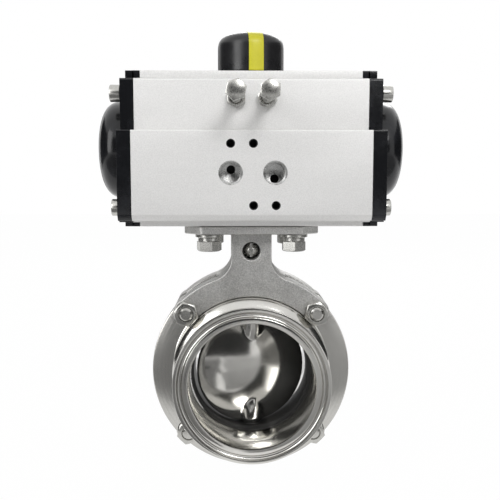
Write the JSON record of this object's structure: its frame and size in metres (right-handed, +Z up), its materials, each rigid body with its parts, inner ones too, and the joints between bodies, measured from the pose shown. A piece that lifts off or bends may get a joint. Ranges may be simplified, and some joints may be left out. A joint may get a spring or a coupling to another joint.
{
  "type": "pneumatic butterfly valve",
  "caption": "Butterfly valve with clamp-ferrule pipe ends under a rack-and-pinion pneumatic actuator; the disc, shaft and position indicator turn a quarter turn as the pistons slide.",
  "frame": {"origin": "centre of the pipe bore, half-way between the two ferrule faces, where the spindle axis crosses the pipe axis", "axes": "+X to the right along the actuator, +Y along the pipe away from the front face that the picture shows, +Z up the spindle to the position indicator"},
  "size_m": [0.1812, 0.122, 0.2654],
  "materials": {
    "polished_steel": "polished stainless steel",
    "blasted_steel": "bead-blasted stainless steel",
    "anodised_aluminium": "silver anodised, bead-blasted",
    "black_coating": "gloss black coating on cast aluminium",
    "fastener_steel": "bright stainless fasteners",
    "plated_steel": "plated shaft steel",
    "black_rubber": "satin black rubber",
    "bearing_plastic": "off-white bearing plastic",
    "black_plastic": "black moulded plastic",
    "yellow_plastic": "yellow moulded plastic"
  },
  "bodies": {
    "valve": {"front_body_half": "polished_steel", "rear_body_half": "polished_steel", "seat_ring": "black_rubber", "upper_stem_bush": "bearing_plastic", "lower_stem_bush": "bearing_plastic", "stem_seal": "black_rubber", "actuator_bracket": "blasted_steel", "neck_bush": "bearing_plastic", "stem_lock_screw": "fastener_steel", "body_bolt_1": "fastener_steel", "body_bolt_2": "fastener_steel", "body_bolt_3": "fastener_steel", "body_bolt_4": "fastener_steel", "body_nut_1": "fastener_steel", "body_nut_2": "fastener_steel", "body_nut_3": "fastener_steel", "body_nut_4": "fastener_steel", "mount_bolt_1": "fastener_steel", "mount_bolt_2": "fastener_steel", "mount_bolt_3": "fastener_steel", "mount_bolt_4": "fastener_steel", "mount_washer_1": "fastener_steel", "mount_washer_2": "fastener_steel", "mount_washer_3": "fastener_steel", "mount_washer_4": "fastener_steel", "mount_spring_washer_1": "fastener_steel", "mount_spring_washer_2": "fastener_steel", "mount_spring_washer_3": "fastener_steel", "mount_spring_washer_4": "fastener_steel", "actuator_body": "anodised_aluminium", "lower_shaft_bearing": "bearing_plastic", "upper_shaft_bearing": "bearing_plastic", "left_end_cap": "black_coating", "left_cap_screw_1": "fastener_steel", "left_cap_screw_2": "fastener_steel", "left_cap_screw_3": "fastener_steel", "left_cap_screw_4": "fastener_steel", "stop_bolt_left": "fastener_steel", "stop_nut_left": "fastener_steel", "right_end_cap": "black_coating", "right_cap_screw_1": "fastener_steel", "right_cap_screw_2": "fastener_steel", "right_cap_screw_3": "fastener_steel", "right_cap_screw_4": "fastener_steel", "stop_bolt_right": "fastener_steel", "stop_nut_right": "fastener_steel"},
    "spindle": {"disc": "polished_steel", "stem": "plated_steel", "pinion": "plated_steel", "stop_cam": "plated_steel", "retaining_ring": "plated_steel", "indicator_cap": "black_plastic", "indicator_stripe": "yellow_plastic"},
    "left_piston_set": {"left_piston": "anodised_aluminium", "left_piston_ring": "black_rubber", "left_piston_pad": "bearing_plastic"},
    "right_piston_set": {"right_piston": "anodised_aluminium", "right_piston_ring": "black_rubber", "right_piston_pad": "bearing_plastic"}
  },
  "joints": [
    {"name": "spindle_turn", "type": "hinge", "parent": "valve", "child": "spindle", "pos_m": [0, 0, 0], "axis": [0, 0, 1], "range_deg": [-16, 74]},
    {"name": "left_piston_slide", "type": "slide", "parent": "valve", "child": "left_piston_set", "axis": [-1, 0, 0], "range_m": [-0.0029, 0.013]},
    {"name": "right_piston_slide", "type": "slide", "parent": "valve", "child": "right_piston_set", "axis": [1, 0, 0], "range_m": [-0.0029, 0.013]}
  ],
  "couplings": [
    {"joint": "left_piston_slide", "follows": "spindle_turn", "m_per_rad": 0.01},
    {"joint": "right_piston_slide", "follows": "spindle_turn", "m_per_rad": 0.01}
  ]
}
